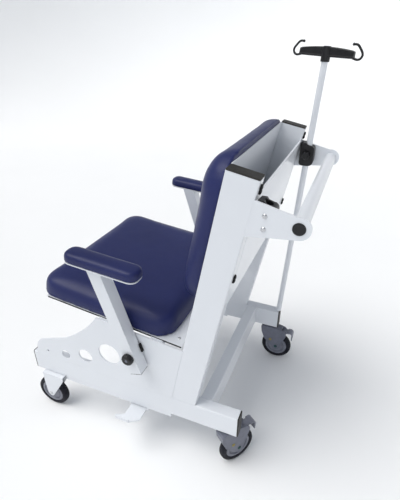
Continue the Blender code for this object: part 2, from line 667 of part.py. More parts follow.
def make_arm(label, side):
    """Post, plate and pad that swing forwards and down about the pivot on the side plate."""
    up = (-math.sin(ARM_LEAN), math.cos(ARM_LEAN))
    back = (math.cos(ARM_LEAN), math.sin(ARM_LEAN))
    pad_y, pad_z = PAD_CENTRE[0] - ARM_PIVOT[0], PAD_CENTRE[1] - ARM_PIVOT[1]

    def post_point(along, across):
        return (along * up[0] + across * back[0], along * up[1] + across * back[1])

    def post_top(across):
        """Distance up the post at which a line of it meets the middle of the pad's plate."""
        y, z = post_point(0.0, across)
        plate_z = pad_z - ARM_PLATE / 2
        slope = math.tan(PAD_SLOPE)
        return (plate_z - z - slope * (y - pad_y)) / (up[1] + slope * up[0])

    outline = [post_point(-ARM_BELOW, -ARM_HALF), post_point(-ARM_BELOW, ARM_HALF),
               post_point(post_top(ARM_HALF), ARM_HALF), post_point(post_top(-ARM_HALF), -ARM_HALF)]
    at = (0.0, *ARM_PIVOT)
    post = piece(f"arm_post_{label}", slab(outline, *[side * edge for edge in ARM_X]), "white_paint", at)
    pad_middle = (PAD_X[0] + PAD_X[1]) / 2
    plate_outline = rounded(PAD_X[1] - PAD_X[0] - 0.005, PAD_LENGTH - 0.008, 0.022, 4)
    middle = side * pad_middle
    plate = loft([[(middle + a, b, level) for a, b in plate_outline] for level in (-ARM_PLATE, 0.0)])
    place_on_slope(plate, pad_y, pad_z)
    weld(post, plate)
    hollow = ARM_HALF - ARM_WALL
    inside = [post_point(-ARM_BELOW - 0.01, -hollow), post_point(-ARM_BELOW - 0.01, hollow),
              post_point(0.26, hollow), post_point(0.26, -hollow)]
    cut(post, slab(inside, side * (ARM_X[0] + ARM_WALL), side * (ARM_X[1] - ARM_WALL)))
    cut(post, rod(side * (ARM_X[0] - 0.002), side * (ARM_X[1] + 0.002), ARM_BOLT + GAP, (0.0, 0.0), 16))
    pad = pillow(PAD_X[1] - PAD_X[0], PAD_LENGTH, PAD_THICK, 0.026, 0.003, 0.013)
    bmesh.ops.translate(pad, verts=pad.verts, vec=(side * pad_middle, 0.0, GAP))
    place_on_slope(pad, pad_y, pad_z)
    piece(f"arm_pad_{label}", pad, "navy_vinyl", at, smooth=True)
    make_arm_knob(label, side, at)


def place_on_slope(shape, y, z):
    """Tip a shape down towards the rear by the pad's slope, then move it to (y, z)."""
    bmesh.ops.rotate(shape, verts=shape.verts, matrix=Matrix.Rotation(-PAD_SLOPE, 3, "X"))
    bmesh.ops.translate(shape, verts=shape.verts, vec=(0.0, y, z))


def make_arm_knob(label, side, at):
    face = ARM_X[1] + GAP
    profile = [(face + 0.016, 0.0060), (face + 0.016, 0.0150), (face + 0.013, KNOB_RADIUS),
               (face + 0.003, KNOB_RADIUS), (face, 0.0165), (face, ARM_BOLT), (FRAME_HALF - SHEET, ARM_BOLT)]
    knob = turned([(side * x, radius) for x, radius in profile], 24)
    piece(f"arm_knob_{label}", knob, "black_plastic", at, smooth=True)


def main():
    clear_scene()
    make_chair_empty()
    for label, side in SIDES:
        make_base_tube(label, side)
        make_under_rail(label, side)
        make_side_plate(label, side)
        make_upright(label, side)
        make_handle_bracket(label, side)
        make_pole_clamp(label, side)
        make_front_wheel(label, side)
        make_castor(label, side)
        make_arm(label, side)
    make_cross_tube()
    make_foot_pedal()
    make_back_panels()
    make_seat()
    make_back_cushion()
    make_handle_tube()
    make_drip_pole()
    make_hanger()


main()
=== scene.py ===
"""Looks of the mobile transfer chair: rounded edges, cushions, wheels, trims and finishes.

Everything is in metres, in the frame's own axes: the chair faces -Y, +X is the sitter's left and +Z is up.
"""
import json
import math

import bmesh
import bpy
from mathutils import Matrix, Vector


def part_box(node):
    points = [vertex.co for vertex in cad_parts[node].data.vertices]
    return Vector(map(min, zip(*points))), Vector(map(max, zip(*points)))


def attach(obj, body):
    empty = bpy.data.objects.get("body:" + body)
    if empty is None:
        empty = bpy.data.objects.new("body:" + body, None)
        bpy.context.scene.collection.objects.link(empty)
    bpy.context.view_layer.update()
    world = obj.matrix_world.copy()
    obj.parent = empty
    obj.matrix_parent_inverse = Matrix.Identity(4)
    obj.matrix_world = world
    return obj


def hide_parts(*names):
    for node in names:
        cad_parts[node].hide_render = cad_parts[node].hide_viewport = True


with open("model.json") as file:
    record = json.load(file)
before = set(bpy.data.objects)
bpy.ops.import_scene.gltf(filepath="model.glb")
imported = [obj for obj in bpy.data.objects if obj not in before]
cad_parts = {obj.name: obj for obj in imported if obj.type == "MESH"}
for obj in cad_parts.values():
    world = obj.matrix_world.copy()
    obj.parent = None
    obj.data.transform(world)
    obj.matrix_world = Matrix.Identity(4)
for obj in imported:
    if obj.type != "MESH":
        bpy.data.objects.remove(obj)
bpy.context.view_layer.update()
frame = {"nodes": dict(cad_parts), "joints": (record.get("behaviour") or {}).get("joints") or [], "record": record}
BEHAVIOUR = frame["record"]["behaviour"]
BODY_OF = {node: body for body, nodes in BEHAVIOUR["bodies"].items() for node in nodes}
SLOT_OF = {row["node"]: row["material_slot"] for row in frame["record"]["subparts"]}
JOINT = {joint["name"]: joint for joint in frame["joints"]}
SIDES = (("left", 1), ("right", -1))

# Mesh building
MERGE = 0.00001            # corners closer than this are one corner
FLAT = math.radians(0.6)   # faces this close to level are one face
ROUND_STEPS = 72
MIX_SOCKETS = (0, 6, 7)    # a colour Mix node's factor and its two colours
MIX_RESULT = 2

# The chair
WHEEL_RADIUS = 0.0625
ARM_LEAN = math.radians(17)
BACK_LEAN = math.radians(11.5)
HANGER_TURN = math.radians(-20)
ARM_KNOB_DEEP = 0.016
TYRE_OUTLINE = ((0.0118, 0.0459), (0.0131, 0.0480), (0.0135, 0.0512), (0.0132, 0.0545),
                (0.0122, 0.0576), (0.0102, 0.0600), (0.0074, 0.0615), (0.0038, 0.0623))
HUB_OUTLINE = ((0.0135, 0.0044), (0.0135, 0.0088), (0.0130, 0.0098), (0.0112, 0.0112), (0.0100, 0.0130),
               (0.0096, 0.0160), (0.0098, 0.0270), (0.0104, 0.0292), (0.0100, 0.0300), (0.0070, 0.0306),
               (0.0066, 0.0320), (0.0068, 0.0342), (0.0090, 0.0356), (0.0116, 0.0366), (0.0122, 0.0378),
               (0.0122, 0.0420), (0.0116, 0.0432), (0.0104, 0.0438), (0.0104, 0.0446), (0.0108, 0.0454))
AXLE_CAP_OUTLINE = ((0.0222, 0.0030), (0.0219, 0.0050), (0.0208, 0.0064), (0.0198, 0.0068), (0.0198, 0.0040))
MARKER_HEIGHT = 0.095
MARKER_OFFSET = 0.015      # from the castor's stem towards its wheel

# Cushions
SIMULATED_FRAMES = 20
BASE_HELD = 0.003          # height above the flat base that the simulation leaves alone
BASE_KEPT = 0.004          # height above the flat base that the smoothing leaves alone

# Seams and trims
SEAM_WIDE = 0.0034
SEAM_DEEP = 0.003
SEAM_CLEAR = 0.0003
# Painted shade: a black strip under the seat cushion's edge stands in for the shadow gap between the seat pan and
# the side plate
SHADE_STRIP_WIDE = 0.0034
SHADE_STRIP_DEEP = 0.0022
BEAD_SPACING = 0.0025

# Studio
STUDIO_STEPS = 96
FLOOR_RADIUS = 4.5
SWEEP_RADIUS = 3.0
BACKDROP_HIGH = 16.0
WORLD_COLOUR = (0.86, 0.91, 1.0, 1.0)
WORLD_STRENGTH = 0.34

# Camera
EYE = Vector((1.0616, 0.5079, 1.2503))
EYE_RIGHT = Vector((-0.3814, 0.9244, 0.0))
EYE_BACK = Vector((0.8108, 0.3345, 0.4803))
LENS = 28.11
SENSOR = 36.0


# ---------------------------------------------------------------- materials

class Recipe:
    """A material's node tree, built a step at a time in object space."""

    def __init__(self, name):
        self.material = bpy.data.materials.new(name)
        self.material.use_nodes = True
        self.tree = self.material.node_tree
        self.shader = self.tree.nodes["Principled BSDF"]
        self.place = self.tree.nodes.new("ShaderNodeTexCoord")

    def link(self, output, socket):
        self.tree.links.new(output, socket)

    def set(self, **values):
        """Set shader sockets by name; an underscore stands for a space."""
        for name, value in values.items():
            self.shader.inputs[name.replace("_", " ")].default_value = value

    def mapped(self, stretch):
        """Object coordinates, stretched along each axis."""
        mapping = self.tree.nodes.new("ShaderNodeMapping")
        mapping.inputs["Scale"].default_value = stretch
        self.link(self.place.outputs["Object"], mapping.inputs["Vector"])
        return mapping.outputs["Vector"]

    def noise(self, scale, detail=3.0, stretch=(1, 1, 1)):
        node = self.tree.nodes.new("ShaderNodeTexNoise")
        node.inputs["Scale"].default_value = scale
        node.inputs["Detail"].default_value = detail
        self.link(self.mapped(stretch), node.inputs["Vector"])
        return node.outputs["Fac"]

    def cells(self, scale, feature="DISTANCE_TO_EDGE"):
        node = self.tree.nodes.new("ShaderNodeTexVoronoi")
        node.feature = feature
        node.inputs["Scale"].default_value = scale
        self.link(self.mapped((1, 1, 1)), node.inputs["Vector"])
        return node.outputs["Distance"]

    def ramp(self, value, low, high, stops):
        """Map value from low..high to a colour between the stops."""
        node = self.tree.nodes.new("ShaderNodeValToRGB")
        ends = node.color_ramp.elements
        for end, at, colour in zip(ends, (low, high), stops):
            end.position = at
            end.color = (*colour, 1.0)
        self.link(value, node.inputs["Fac"])
        return node.outputs["Color"]

    def spread(self, value, low, high):
        """Map a 0..1 value to low..high."""
        node = self.tree.nodes.new("ShaderNodeMapRange")
        node.inputs["To Min"].default_value = low
        node.inputs["To Max"].default_value = high
        self.link(value, node.inputs["Value"])
        return node.outputs["Result"]

    def mix(self, factor, first, second, kind="MIX"):
        node = self.tree.nodes.new("ShaderNodeMix")
        node.data_type = "RGBA"
        node.blend_type = kind
        for value, socket in zip((factor, first, second), MIX_SOCKETS):
            self.link(value, node.inputs[socket])
        return node.outputs[MIX_RESULT]

    def bump(self, height, depth, under=None):
        """Add relief of a depth in metres, on top of any relief already made."""
        node = self.tree.nodes.new("ShaderNodeBump")
        node.inputs["Strength"].default_value = 1.0
        node.inputs["Distance"].default_value = depth
        self.link(height, node.inputs["Height"])
        if under is not None:
            self.link(under, node.inputs["Normal"])
        self.link(node.outputs["Normal"], self.shader.inputs["Normal"])
        return node.outputs["Normal"]


def mottled(recipe, colour, change, scale):
    """Colour that drifts between a little darker and a little lighter."""
    darker = tuple(c * (1 - change) for c in colour)
    lighter = tuple(min(1.0, c * (1 + change)) for c in colour)
    return recipe.ramp(recipe.noise(scale, 4.0), 0.32, 0.68, (darker, lighter))


def powder_coat(name, colour):
    """Glossy powder coat: a faint orange peel, drifting gloss and a few dull scuffs."""
    made = Recipe(name)
    tone = mottled(made, colour, 0.007, 4.0)
    scuffs = made.ramp(made.noise(30.0, 5.0), 0.66, 0.76, ((0, 0, 0), (1, 1, 1)))
    duller = tuple(c * 0.985 for c in colour)
    dullish = tuple(c * 0.992 for c in colour)
    dull = made.ramp(made.noise(9.0), 0.3, 0.7, (duller, dullish))
    made.link(made.mix(scuffs, tone, dull), made.shader.inputs["Base Color"])
    made.link(made.spread(made.noise(24.0, 5.0), 0.26, 0.34), made.shader.inputs["Roughness"])
    made.set(Coat_Weight=0.25, Coat_Roughness=0.15, Specular_IOR_Level=0.45)
    made.bump(made.noise(420.0, 2.0), 0.00002)
    return made.material


def moulded(name, colour, rough, grain=1400.0, depth=0.00005, change=0.10):
    """Moulded plastic: a fine spark grain, and gloss where hands rub it."""
    made = Recipe(name)
    made.link(mottled(made, colour, change, 45.0), made.shader.inputs["Base Color"])
    gloss = made.spread(made.noise(70.0, 4.0), rough - 0.07, rough + 0.10)
    made.link(gloss, made.shader.inputs["Roughness"])
    made.set(Specular_IOR_Level=0.38)
    fine = made.bump(made.noise(grain, 3.0), depth)
    made.bump(made.cells(grain * 0.6), depth * 0.6, fine)
    return made.material


def rubber(name, colour, rough):
    """Rubber with a dusty bloom in patches and a fine scuffed grain."""
    made = Recipe(name)
    bloom = tuple(1.4 * c + 0.005 for c in colour)
    dusty = made.ramp(made.noise(55.0, 7.0), 0.40, 0.72, (colour, bloom))
    made.link(dusty, made.shader.inputs["Base Color"])
    gloss = made.spread(made.noise(120.0, 4.0), rough - 0.12, rough + 0.12)
    made.link(gloss, made.shader.inputs["Roughness"])
    made.set(Specular_IOR_Level=0.16)
    grain = made.bump(made.noise(900.0, 4.0), 0.00010)
    made.bump(made.noise(180.0, 3.0), 0.00012, grain)
    return made.material


def zinc(name, colour):
    """Bright zinc plate, turned: fine rings with small dull spots."""
    made = Recipe(name)
    made.link(mottled(made, colour, 0.08, 160.0), made.shader.inputs["Base Color"])
    gloss = made.spread(made.noise(900.0, 3.0, (1, 0.1, 0.1)), 0.18, 0.38)
    made.link(gloss, made.shader.inputs["Roughness"])
    made.set(Metallic=1.0)
    made.bump(made.noise(1500.0, 2.0, (1, 0.1, 0.1)), 0.00003)
    return made.material


def vinyl(name, colour):
    """Soft-grained upholstery vinyl: leather pebbles, finer pores, and a colour that drifts with wear."""
    made = Recipe(name)
    worn = tuple(c * 1.22 + 0.0010 for c in colour)
    tone = made.ramp(made.noise(7.0, 5.0), 0.30, 0.72, (colour, worn))
    pores = made.ramp(made.cells(620.0), 0.0, 0.16, (tuple(c * 0.72 for c in colour), (1, 1, 1)))
    made.link(made.mix(made.spread(made.noise(620.0), 0.25, 0.45), tone, pores, "MULTIPLY"),
              made.shader.inputs["Base Color"])
    made.link(made.spread(made.noise(30.0, 5.0), 0.36, 0.50), made.shader.inputs["Roughness"])
    made.set(Coat_Weight=0.05, Coat_Roughness=0.40, Specular_IOR_Level=0.26)
    pebbles = made.bump(made.cells(620.0), 0.00011)
    fine = made.bump(made.noise(1500.0, 3.0), 0.00004, pebbles)
    made.bump(made.noise(22.0, 3.0), 0.00050, fine)
    return made.material


def floor_finish(name):
    """Pale matt floor with a very slight drift of tone."""
    made = Recipe(name)
    made.link(mottled(made, (0.93, 0.935, 0.94), 0.01, 0.8), made.shader.inputs["Base Color"])
    made.link(made.spread(made.noise(3.0, 3.0), 0.62, 0.72), made.shader.inputs["Roughness"])
    made.bump(made.noise(90.0, 3.0), 0.0001)
    return made.material


MATERIALS = {
    "white_paint": powder_coat("powder_coat_white", (0.74, 0.765, 0.805)),
    "end_cap": moulded("end_cap_black", (0.021, 0.019, 0.016), 0.50, change=0.2),
    "black_plastic": moulded("moulded_black", (0.008, 0.008, 0.0095), 0.38, change=0.2),
    "black_rubber": rubber("buffer_rubber", (0.009, 0.009, 0.010), 0.60),
    "tyre": rubber("tyre_rubber", (0.0085, 0.009, 0.0145), 0.58),
    "pale_plastic": moulded("moulded_pale_grey", (0.200, 0.208, 0.250), 0.38),
    "grey_plastic": moulded("moulded_castor_grey", (0.150, 0.158, 0.200), 0.40),
    "green_plastic": moulded("moulded_green", (0.0, 0.045, 0.040), 0.42),
    "bright_steel": zinc("zinc_plate", (0.60, 0.61, 0.63)),
    "navy_vinyl": vinyl("navy_vinyl", (0.0165, 0.0225, 0.100)),
}
YELLOW = moulded("moulded_yellow", (0.36, 0.30, 0.03), 0.45)


# ---------------------------------------------------------------- pieces

def add(name, shape, body, slot, replaces=(), material=None, sharp=40.0, even=True):
    """Make a piece from a shape, give it its finish and let it ride on a body."""
    mesh = bpy.data.meshes.new(name)
    bmesh.ops.recalc_face_normals(shape, faces=shape.faces)
    shape.to_mesh(mesh)
    shape.free()
    mesh.materials.append(material or MATERIALS[slot])
    mesh.shade_smooth()
    mesh.set_sharp_from_angle(angle=math.radians(sharp))
    made = bpy.data.objects.new(name, mesh)
    bpy.context.scene.collection.objects.link(made)
    if even:
        level = made.modifiers.new("even", "WEIGHTED_NORMAL")
        level.keep_sharp = True
    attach(made, body)
    if replaces:
        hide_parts(*replaces)
    return made


def cad_shape(node):
    """An editable copy of a CAD node, with its corners joined and its flat faces whole again."""
    shape = bmesh.new()
    shape.from_mesh(frame["nodes"][node].data)
    bmesh.ops.remove_doubles(shape, verts=shape.verts, dist=MERGE)
    bmesh.ops.dissolve_limit(shape, angle_limit=FLAT, verts=shape.verts, edges=shape.edges)
    return shape


def eased(node, width, sharp=40.0, segments=2):
    """The CAD node's own shape with its sharp edges rounded."""
    shape = cad_shape(node)
    edges = [e for e in shape.edges if e.is_manifold and e.calc_face_angle(0.0) > math.radians(sharp)]
    bmesh.ops.bevel(shape, geom=edges, offset=width, offset_type="OFFSET", segments=segments, profile=0.5,
                    affect="EDGES", clamp_overlap=True)
    return add(f"{node}_finished", shape, BODY_OF[node], SLOT_OF[node], [node], sharp=sharp)


def loft(rings, loop=False):
    """Skin matching rings of points. The end rings are capped, or joined when loop is true."""
    shape = bmesh.new()
    rows = [[shape.verts.new(point) for point in ring] for ring in rings]
    pairs = list(zip(rows, rows[1:]))
    if loop:
        pairs.append((rows[-1], rows[0]))
    else:
        shape.faces.new(rows[0])
        shape.faces.new(rows[-1])
    for first, second in pairs:
        for index, corner in enumerate(first):
            after = (index + 1) % len(first)
            shape.faces.new((corner, first[after], second[after], second[index]))
    return shape


def turned(profile, loop=False, steps=ROUND_STEPS, lobes=0, depth=0.0, lobed=()):
    """Turn (x, radius) points about X. Rings whose index is in lobed are scalloped."""
    rings = []
    for index, (x, radius) in enumerate(profile):
        ring = []
        for step in range(steps):
            angle = 2 * math.pi * step / steps
            reach = radius
            if index in lobed:
                reach -= depth * (0.5 - 0.5 * math.cos(lobes * angle)) ** 1.5
            ring.append((x, reach * math.cos(angle), reach * math.sin(angle)))
        rings.append(ring)
    return loft(rings, loop)


def placed(shape, axis, centre):
    """Turn a shape drawn along +X to point along axis, and move it to centre."""
    spin = Vector((1, 0, 0)).rotation_difference(Vector(axis)).to_matrix().to_4x4()
    bmesh.ops.transform(shape, matrix=Matrix.Translation(centre) @ spin, verts=shape.verts)
    return shape


def join(shape, other):
    """Copy another shape's parts into shape."""
    mesh = bpy.data.meshes.new("joining")
    other.to_mesh(mesh)
    other.free()
    shape.from_mesh(mesh)
    bpy.data.meshes.remove(mesh)
    return shape


def mirrored(outline):
    """A half outline of (x, radius) points followed by its mirror image across x = 0."""
    return list(outline) + [(-x, radius) for x, radius in reversed(outline)]


def tube_rings(path, sizes, steps, closed=False):
    """Circles across a path. Their first direction is carried along, so that the tube doesn't twist."""
    rings = []
    side = None
    for index, (point, size) in enumerate(zip(path, sizes)):
        if closed:
            ahead = path[(index + 1) % len(path)] - path[index - 1]
        else:
            ahead = path[min(index + 1, len(path) - 1)] - path[max(index - 1, 0)]
        ahead.normalize()
        if side is None:
            side = ahead.orthogonal().normalized()
        side = (side - ahead * side.dot(ahead)).normalized()
        other = ahead.cross(side)
        angles = [2 * math.pi * step / steps for step in range(steps)]
        rings.append([point + size * (side * math.cos(a) + other * math.sin(a)) for a in angles])
    return rings


def swept(points, radius, steps=14, end=0.55):
    """A round wire through points, drawn in at both ends."""
    path = [Vector(p) for p in points]
    sizes = [radius * end] + [radius] * (len(path) - 2) + [radius * end]
    return loft(tube_rings(path, sizes, steps))


def curve_through(points, per_span=6):
    """A smooth curve through points, as a list of points close together."""
    path = [Vector(p) for p in points]
    path = [2 * path[0] - path[1]] + path + [2 * path[-1] - path[-2]]
    smooth = []
    for index in range(1, len(path) - 2):
        a, b, c, d = path[index - 1:index + 3]
        for step in range(per_span):
            t = step / per_span
            smooth.append(0.5 * ((2 * b) + (c - a) * t + (2 * a - 5 * b + 4 * c - d) * t ** 2
                                 + (3 * b - a - 3 * c + d) * t ** 3))
    smooth.append(path[-2])
    return smooth


# ---------------------------------------------------------------- frame

# How far each painted or moulded piece's sharp edges are rounded
EASED = {
    "base_tube": 0.0007, "under_rail": 0.0010, "side_plate": 0.0010, "upright": 0.0007,
    "handle_bracket": 0.0010, "front_fork": 0.0008, "arm_post": 0.0009, "base_front_cap": 0.0009,
    "base_rear_cap": 0.0009, "upright_cap": 0.0009, "pole_clamp": 0.0014, "castor_housing": 0.0022,
    "brake_pedal": 0.0016,
}
EASED_SINGLE = {
    "rear_cross_tube": 0.0007, "back_panel": 0.0006, "rear_panel": 0.0006, "seat_pan": 0.0008,
    "handle_tube": 0.0008, "drip_pole": 0.0006, "foot_pedal": 0.0009,
}


def make_frame():
    """Every CAD piece whose shape is kept, with its edges rounded."""
    for label, _ in SIDES:
        for kind, width in EASED.items():
            eased(f"{kind}_{label}", width)
    for node, width in EASED_SINGLE.items():
        eased(node, width)


# ---------------------------------------------------------------- wheels

def make_wheel(prefix, label, joint):
    """Tyre with rounded shoulders on a dished hub with a groove near its rim."""
    centre, axis = JOINT[joint]["pos_m"], JOINT[joint]["axis"]
    node = f"{prefix}_tyre_{label}"
    body = BODY_OF[node]
    half = list(TYRE_OUTLINE)
    tyre = turned(half + [(0.0, WHEEL_RADIUS)] + mirrored(half)[len(half):], loop=True)
    add(f"{node}_round", placed(tyre, axis, centre), body, "tyre", [node])
    node = f"{prefix}_hub_{label}"
    hub = turned(mirrored(HUB_OUTLINE), loop=True)
    add(f"{node}_round", placed(hub, axis, centre), body, "pale_plastic", [node], sharp=32.0)


def make_axle_trims(label, side):
    """Bolt head and nut of the front axle, and the castor's coloured end caps and markers."""
    centre = Vector(JOINT[f"front_wheel_spin_{label}"]["pos_m"])
    low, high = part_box(f"front_axle_{label}")
    reach = max(abs(low.x), abs(high.x)) - abs(centre.x)
    inner = abs(centre.x) - min(abs(low.x), abs(high.x))
    bolt = turned([(reach, 0.0030), (reach - 0.0004, 0.0046), (reach - 0.0013, 0.0058),
                   (reach - 0.0030, 0.0062), (reach - 0.0033, 0.0075), (reach - 0.0041, 0.0075),
                   (reach - 0.0042, 0.0040), (-inner + 0.0042, 0.0040), (-inner + 0.0040, 0.0064),
                   (-inner, 0.0060)], steps=48)
    add(f"front_axle_{label}_bolt", placed(bolt, (side, 0, 0), centre), "chassis", "bright_steel",
        [f"front_axle_{label}"])
    spin = JOINT[f"castor_wheel_spin_{label}"]
    pin = turned(mirrored(AXLE_CAP_OUTLINE), steps=48)
    add(f"castor_axle_{label}_cap", placed(pin, spin["axis"], spin["pos_m"]), f"castor_{label}",
        "green_plastic", [f"castor_axle_{label}"])
    stem = Vector(JOINT[f"castor_swivel_{label}"]["pos_m"])
    across = Vector(spin["axis"])
    trail = (Vector(spin["pos_m"]) - stem) * Vector((1, 1, 0))
    trail.normalize()
    spot = Vector((stem.x, stem.y, MARKER_HEIGHT)) + trail * MARKER_OFFSET
    for face in (-1, 1):
        ring = turned([(0.0208, 0.0026), (0.0210, 0.0032), (0.0210, 0.0048), (0.0206, 0.0055),
                       (0.0197, 0.0055), (0.0197, 0.0026)], loop=True, steps=40)
        place = "outer" if face * side > 0 else "inner"
        add(f"castor_marker_{label}_{place}", placed(ring, across * face, spot), f"castor_{label}",
            "green_plastic", material=YELLOW)


# ---------------------------------------------------------------- knobs, plugs and buffers

def reaches(node):
    """How far a node's outer and inner faces are from the chair's centre line."""
    low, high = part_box(node)
    return max(abs(low.x), abs(high.x)), min(abs(low.x), abs(high.x))


def make_arm_knob(label, side):
    """Scalloped clamping knob on the arm's pivot, with a disc in its middle."""
    body = f"arm_knob_{label}"
    pivot = Vector(JOINT[f"arm_knob_turn_{label}"]["pos_m"])
    centre = Vector((0, pivot.y, pivot.z))
    outer, inner = reaches(body)
    seat = outer - ARM_KNOB_DEEP
    profile = [(outer - 0.0012, 0.0064), (outer - 0.0002, 0.0078), (outer, 0.0100), (outer - 0.0004, 0.0145),
               (outer - 0.0022, 0.0170), (outer - 0.0050, 0.0184), (seat + 0.0040, 0.0185),
               (seat + 0.0012, 0.0176), (seat, 0.0150), (seat, 0.0050), (inner, 0.0050)]
    knob = placed(turned(profile, lobes=14, depth=0.0011, lobed=(4, 5, 6, 7)), (side, 0, 0), centre)
    add(f"arm_knob_{label}_round", knob, body, "black_plastic", [body], sharp=50)
    disc = turned([(outer - 0.0002, 0.0014), (outer, 0.0034), (outer - 0.0006, 0.0046),
                   (outer - 0.0034, 0.0046)], steps=40)
    add(f"arm_knob_{label}_disc", placed(disc, (side, 0, 0), centre), body, "grey_plastic")


def make_clamp_knob(label, side):
    """Seven-lobed knob that tightens the pole clamp."""
    body = f"clamp_knob_{label}"
    low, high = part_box(body)
    centre = (low + high) / 2
    near, far = reaches(body)
    length = near - far
    profile = [(0.0, 0.0050), (0.0045, 0.0052), (0.0052, 0.0118), (0.0066, 0.0132), (0.0120, 0.0136),
               (length - 0.0035, 0.0133), (length - 0.0012, 0.0122), (length, 0.0095),
               (length - 0.0006, 0.0060)]
    knob = turned(profile, lobes=7, depth=0.0030, lobed=(2, 3, 4, 5, 6))
    at = (side * near, centre.y, centre.z)
    add(f"clamp_knob_{label}_lobed", placed(knob, (-side, 0, 0), at), body, "black_plastic", [body], sharp=50)


def make_plug(label, side):
    """Dished end plug of the push handle."""
    node = f"handle_plug_{label}"
    low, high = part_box(node)
    middle = (low + high) / 2
    outer, inner = reaches(node)
    profile = [(outer - 0.0008, 0.0040), (outer - 0.0006, 0.0098), (outer, 0.0112), (outer - 0.0002, 0.0134),
               (outer - 0.0012, 0.0146), (outer - 0.0024, 0.0148), (outer - 0.0025, 0.0128), (inner, 0.0126)]
    plug = placed(turned(profile), (side, 0, 0), Vector((0, middle.y, middle.z)))
    add(f"{node}_dished", plug, "chassis", "black_plastic", [node])


def make_buffer(node, steps=24):
    """Two soft bumps, moulded in rubber, side by side on the sheet's edge."""
    shape = cad_shape(node)
    foot = max(shape.faces, key=lambda f: f.calc_area())
    back, centre = (foot.normal * -1).normalized(), foot.calc_center_median()
    shape.free()
    across = Vector((1, 0, 0))
    up = across.cross(back)
    turns = [2 * math.pi * step / steps for step in range(steps)]
    made = bmesh.new()
    for bump in (-1, 1):
        rings = []
        for swing in (0, 18, 36, 54, 72, 84):
            angle = math.radians(swing)
            wide, proud = 0.0085 * math.cos(angle), 0.0058 * math.sin(angle)
            tall = min(wide, 0.0068)
            middle = centre + up * bump * 0.0052 + back * proud
            rings.append([middle + across * wide * math.cos(t) + up * tall * math.sin(t) for t in turns])
        join(made, loft(rings))
    add(f"{node}_bumps", made, BODY_OF[node], SLOT_OF[node], [node], sharp=70.0)


# ---------------------------------------------------------------- bag hanger

def make_hanger():
    """Moulded bar with lipped lower edges, a socket for the pole and a wire hook at each end."""
    slide = Vector(JOINT["pole_slide"]["axis"])
    low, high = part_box("drip_pole")
    pole_x = (low.x + high.x) / 2
    top = Vector((pole_x, high.y - 0.010, high.z)) + slide * 0.003
    along = Matrix.Rotation(HANGER_TURN, 3, "Z") @ Vector((0, 1, 0))
    along = (along - slide * along.dot(slide)).normalized()
    across = along.cross(slide)

    def point(a, b, c=0.0):
        return top + along * a + slide * b + across * c

    half = 0.087
    sections = []
    count = 24
    for step in range(count + 1):
        a = -half + 2 * half * step / count
        t = a / half
        crown = 0.0145 - 0.0065 * t * t
        belly = -0.0130 + 0.0005 * t * t
        wide = 0.0068 + 0.0004 * (1 - t * t)
        if step in (0, count):
            crown, belly, wide = crown - 0.0015, belly + 0.0015, wide - 0.0015
        lip = wide + 0.0012
        half_outline = [(crown, wide * 0.55), (crown - 0.0025, wide * 0.92), (belly + 0.0060, wide),
                        (belly + 0.0050, lip), (belly + 0.0015, lip), (belly, wide * 0.6)]
        outline = half_outline + [(b, -c) for b, c in reversed(half_outline)]
        sections.append([point(a, b, c) for b, c in outline])
    shape = loft(sections)
    socket = turned([(-0.0260, 0.0104), (-0.0260, 0.0128), (-0.0250, 0.0135), (0.0085, 0.0135),
                     (0.0140, 0.0126), (0.0158, 0.0100), (0.0162, 0.0050)], steps=48)
    join(shape, placed(socket, slide, top))
    route = ((-0.010, -0.0085), (0.003, -0.0120), (0.012, -0.0130), (0.0195, -0.0090), (0.0228, -0.0015),
             (0.0205, 0.0065), (0.0130, 0.0160), (0.0060, 0.0230), (0.0000, 0.0252), (-0.0080, 0.0250))
    for sign in (-1, 1):
        path = curve_through([point(sign * (half + out), up) for out, up in route], 5)
        join(shape, swept(path, 0.0033))
        tip = turned([(-0.0036, 0.0012), (-0.0028, 0.0030), (0.0, 0.0042), (0.0028, 0.0030),
                      (0.0036, 0.0012)], steps=20)
        join(shape, placed(tip, along, point(sign * (half - 0.0080), 0.0250)))
    add("hanger_moulding", shape, "pole", "black_plastic", ["hanger"], sharp=38.0)


# ---------------------------------------------------------------- cushions

def simulate(cushion, base, up, pressure, cap, stiffness):
    """Inflate the cushion with its flat base held, and keep every point within cap of where it started."""
    mesh = cushion.data
    held = cushion.vertex_groups.new(name="held")
    start = [v.co.copy() for v in mesh.vertices]
    held.add([i for i, co in enumerate(start) if (co - base).dot(up) < BASE_HELD], 1.0, "REPLACE")
    cloth = cushion.modifiers.new("cloth", "CLOTH")
    rules = cloth.settings
    rules.quality = 5
    rules.mass = 0.4
    rules.tension_stiffness = stiffness
    rules.compression_stiffness = stiffness
    rules.shear_stiffness = stiffness * 0.5
    rules.bending_stiffness = 4.0
    rules.use_pressure = True
    rules.uniform_pressure_force = pressure
    rules.vertex_group_mass = "held"
    rules.effector_weights.gravity = 0.0
    cloth.collision_settings.use_collision = False
    cloth.point_cache.frame_start = 1
    cloth.point_cache.frame_end = SIMULATED_FRAMES
    for step in range(1, SIMULATED_FRAMES + 1):
        bpy.context.scene.frame_set(step)
    bpy.context.view_layer.update()
    result = cushion.evaluated_get(bpy.context.evaluated_depsgraph_get())
    moved = [v.co.copy() for v in result.to_mesh().vertices]
    result.to_mesh_clear()
    cushion.modifiers.remove(cloth)
    cushion.vertex_groups.remove(held)
    bpy.context.scene.frame_set(1)
    for vertex, old, new in zip(mesh.vertices, start, moved):
        step = new - old
        if step.length > 1e-9:
            step *= cap * math.tanh(step.length / cap) / step.length
        vertex.co = old + step


